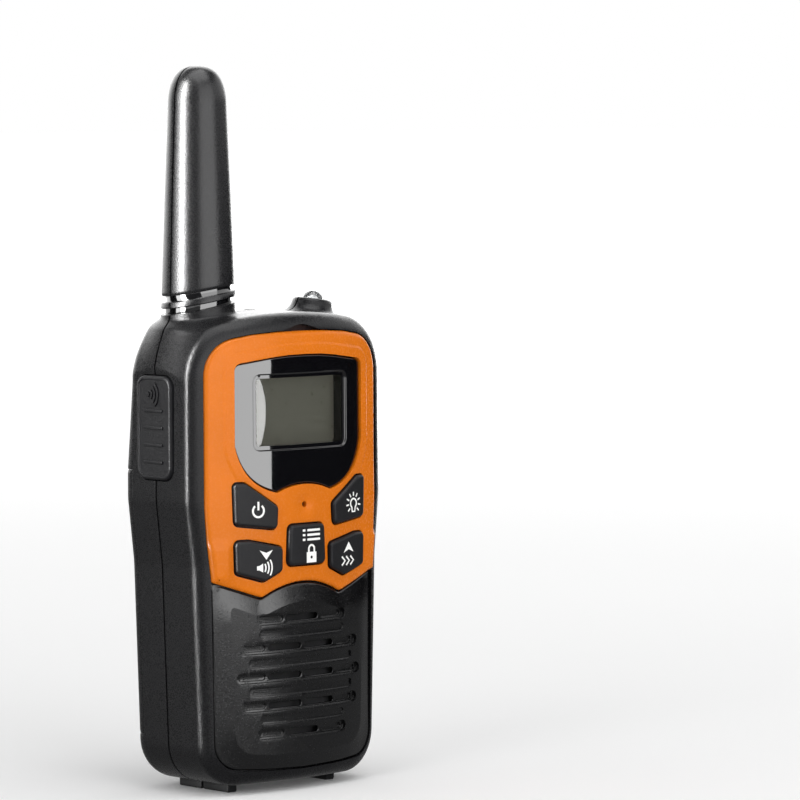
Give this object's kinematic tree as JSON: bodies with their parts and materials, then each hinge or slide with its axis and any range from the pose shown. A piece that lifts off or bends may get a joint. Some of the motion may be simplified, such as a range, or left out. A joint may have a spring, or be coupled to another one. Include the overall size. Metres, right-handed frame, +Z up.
{
  "type": "walkie talkie",
  "caption": "Handheld two-way radio with moulded antenna, coloured face bezel, screen, soft keys, slotted speaker panel, side talk bar and rear battery cover.",
  "frame": {"origin": "centre of the overall box, on the floor under the feet", "axes": "+Z up along the antenna, +Y to the back (the face looks along -Y), +X to the right as seen from the front"},
  "size_m": [0.0612, 0.0333, 0.1705],
  "materials": {
    "shell": "fine-textured dark grey moulded plastic",
    "orange": "satin orange paint on plastic",
    "panel": "satin dark grey plastic",
    "lens": "glossy black acrylic with a clear window",
    "lcd": "grey liquid crystal glass",
    "white": "white moulded plastic",
    "key": "matt charcoal silicone",
    "rubber": "matt black silicone",
    "talk_rubber": "matt black rubber",
    "board": "green solder mask",
    "steel": "bright plated steel",
    "brass": "bare copper alloy wire",
    "cone": "black film",
    "clear": "water-clear epoxy lamp",
    "cell": "printed film over a steel can",
    "socket": "black plastic socket",
    "red": "red wire insulation",
    "black_wire": "black wire insulation"
  },
  "bodies": {
    "radio": {"front_case": "shell", "rear_case": "shell", "front_bezel": "orange", "screen_lens": "lens", "speaker_grille": "panel", "keypad_mat": "rubber", "lcd_frame": "white", "lcd_panel": "lcd", "main_board": "board", "rf_shield": "steel", "speaker_gasket": "rubber", "speaker_basket": "steel", "speaker_cone": "cone", "dust_screen": "cone", "mic_boot": "rubber", "microphone": "steel", "flashlight_led": "clear", "led_board": "board", "headset_jack": "socket", "antenna_coil": "brass", "talk_switch": "steel", "battery_cell_1": "cell", "battery_cell_2": "cell", "battery_cell_3": "cell", "battery_cell_4": "cell", "top_contact_1": "steel", "top_contact_2": "steel", "bottom_contact_1": "steel", "bottom_contact_2": "steel", "case_screw_1": "steel", "case_screw_2": "steel", "case_screw_3": "steel", "case_screw_4": "steel", "left_foot": "rubber", "right_foot": "rubber", "speaker_lead_red": "red", "speaker_lead_black": "black_wire"},
    "power_button": {"power_button": "key"},
    "light_button": {"light_button": "key"},
    "menu_button": {"menu_button": "key"},
    "down_button": {"down_button": "key"},
    "up_button": {"up_button": "key"},
    "talk_button": {"talk_button": "talk_rubber"},
    "battery_cover": {"battery_cover": "shell"}
  },
  "joints": [
    {"name": "power_press", "type": "slide", "parent": "radio", "child": "power_button", "axis": [0, 1, 0], "range_m": [0, 0.0006], "stiffness_N_per_m": 900, "springref_m": -0.0002},
    {"name": "light_press", "type": "slide", "parent": "radio", "child": "light_button", "axis": [0, 1, 0], "range_m": [0, 0.0006], "stiffness_N_per_m": 900, "springref_m": -0.0002},
    {"name": "menu_press", "type": "slide", "parent": "radio", "child": "menu_button", "axis": [0, 1, 0], "range_m": [0, 0.0006], "stiffness_N_per_m": 900, "springref_m": -0.0002},
    {"name": "down_press", "type": "slide", "parent": "radio", "child": "down_button", "axis": [0, 1, 0], "range_m": [0, 0.0006], "stiffness_N_per_m": 900, "springref_m": -0.0002},
    {"name": "up_press", "type": "slide", "parent": "radio", "child": "up_button", "axis": [0, 1, 0], "range_m": [0, 0.0006], "stiffness_N_per_m": 900, "springref_m": -0.0002},
    {"name": "talk_press", "type": "slide", "parent": "radio", "child": "talk_button", "axis": [1, 0, 0], "range_m": [0, 0.001], "stiffness_N_per_m": 900, "springref_m": -0.0002},
    {"name": "battery_cover_swing", "type": "hinge", "parent": "radio", "child": "battery_cover", "pos_m": [0, 0.0166, 0.0757], "axis": [1, 0, 0], "range_deg": [0, 100]}
  ]
}
